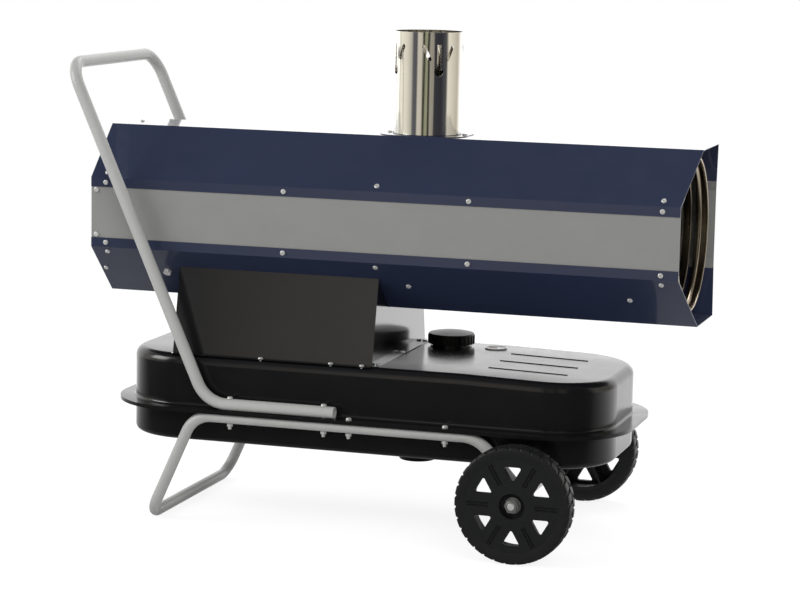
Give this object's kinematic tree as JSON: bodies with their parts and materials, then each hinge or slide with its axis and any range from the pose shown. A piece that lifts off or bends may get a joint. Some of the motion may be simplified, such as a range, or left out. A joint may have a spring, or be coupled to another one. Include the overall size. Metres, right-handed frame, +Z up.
{
  "type": "forced air heater",
  "caption": "Indirect oil-fired forced air heater: an eight-sided casing with a flue and an open warm-air outlet, above a fuel tank on a two-wheel trolley with a bent-tube handle.",
  "frame": {"origin": "on the floor, under the middle of the whole heater's bounding box", "axes": "+X towards the warm-air outlet, -Y the side with the long open end of the handle nearest the viewer, +Z up"},
  "size_m": [1.1195, 0.5606, 0.8754],
  "materials": {
    "navy_enamel": "gloss",
    "grey_enamel": "satin",
    "tank_enamel": "gloss",
    "box_enamel": "satin",
    "frame_powder": "satin",
    "zinc": "satin",
    "stainless": "gloss",
    "tinted_stainless": "satin",
    "hot_steel": "matt",
    "motor_enamel": "satin",
    "fan_enamel": "satin",
    "bright_steel": "gloss",
    "brass": "satin",
    "porcelain": "gloss",
    "hose_rubber": "matt",
    "tyre_rubber": "matt",
    "wheel_plastic": "matt",
    "black_plastic": "satin",
    "red_plastic": "gloss",
    "lamp_plastic": "gloss",
    "pointer_plastic": "satin",
    "float_plastic": "satin",
    "board_laminate": "satin"
  },
  "bodies": {
    "heater": {"upper_shell": "navy_enamel", "lower_shell": "navy_enamel", "flue_collar": "navy_enamel", "side_panel_near": "grey_enamel", "side_panel_far": "grey_enamel", "sheet_screws": "zinc", "motor_bolts": "zinc", "frame_bolts": "zinc", "frame_nuts": "zinc", "axle": "zinc", "axle_washers": "zinc", "axle_nuts": "zinc", "inlet_guard": "box_enamel", "fan_ring": "box_enamel", "fan_motor": "motor_enamel", "motor_bracket": "hot_steel", "fuel_pump": "motor_enamel", "outlet_ring": "tinted_stainless", "outlet_cheeks": "tinted_stainless", "heat_shield": "tinted_stainless", "exchanger": "hot_steel", "combustion_chamber": "hot_steel", "saddles": "hot_steel", "burner_tube": "hot_steel", "nozzle_holder": "brass", "electrodes": "porcelain", "flue_pipe": "stainless", "box_side_near": "box_enamel", "box_side_far": "box_enamel", "box_front": "box_enamel", "box_rear": "box_enamel", "tank_upper": "tank_enamel", "tank_lower": "tank_enamel", "drain_plug": "black_plastic", "filler_neck": "tank_enamel", "level_gauge": "black_plastic", "frame_tube": "frame_powder", "handle_tube": "frame_powder", "switch_frame": "black_plastic", "thermostat": "black_plastic", "indicator_lamp": "lamp_plastic", "reset_housing": "black_plastic", "cable_gland": "black_plastic", "component_tray": "zinc", "ignition_transformer": "black_plastic", "control_board": "board_laminate", "fuel_filter": "brass", "fuel_hose": "hose_rubber"},
    "fan": {"fan_blade": "fan_enamel", "motor_shaft": "bright_steel"},
    "wheel_near": {"wheel_hub_near": "wheel_plastic", "wheel_tyre_near": "tyre_rubber"},
    "wheel_far": {"wheel_hub_far": "wheel_plastic", "wheel_tyre_far": "tyre_rubber"},
    "cap": {"fuel_cap": "black_plastic"},
    "pointer": {"gauge_pointer": "pointer_plastic"},
    "float": {"float_arm": "float_plastic"},
    "knob": {"thermostat_knob": "black_plastic"},
    "rocker": {"switch_rocker": "red_plastic"},
    "button": {"reset_button": "red_plastic"}
  },
  "joints": [
    {"name": "fan_spin", "type": "hinge", "parent": "heater", "child": "fan", "pos_m": [-0.47025, 0, 0.5434], "axis": [1, 0, 0], "continuous": true},
    {"name": "wheel_near_spin", "type": "hinge", "parent": "heater", "child": "wheel_near", "pos_m": [0.29475, -0.2555, 0.101], "axis": [0, 1, 0], "continuous": true},
    {"name": "wheel_far_spin", "type": "hinge", "parent": "heater", "child": "wheel_far", "pos_m": [0.29475, 0.2555, 0.101], "axis": [0, 1, 0], "continuous": true},
    {"name": "cap_turn", "type": "hinge", "parent": "heater", "child": "cap", "pos_m": [0.07175, 0.117, 0.312], "axis": [0, 0, 1], "range_deg": [0, 90]},
    {"name": "float_swing", "type": "hinge", "parent": "heater", "child": "float", "pos_m": [0.15675, 0.117, 0.278], "axis": [0, 1, 0], "range_deg": [-50, 0]},
    {"name": "pointer_turn", "type": "hinge", "parent": "heater", "child": "pointer", "pos_m": [0.15675, 0.117, 0.302], "axis": [0, 0, 1], "range_deg": [-75, 0]},
    {"name": "thermostat_turn", "type": "hinge", "parent": "heater", "child": "knob", "pos_m": [-0.37125, -0.04, 0.357], "axis": [-1, 0, 0], "range_deg": [0, 270]},
    {"name": "switch_rock", "type": "hinge", "parent": "heater", "child": "rocker", "pos_m": [-0.36325, -0.095, 0.357], "axis": [0, 1, 0], "range_deg": [0, 18]},
    {"name": "reset_press", "type": "slide", "parent": "heater", "child": "button", "axis": [1, 0, 0], "range_m": [0, 0.003], "stiffness_N_per_m": 400}
  ],
  "couplings": [
    {"joint": "pointer_turn", "follows": "float_swing", "ratio": 1.5}
  ]
}
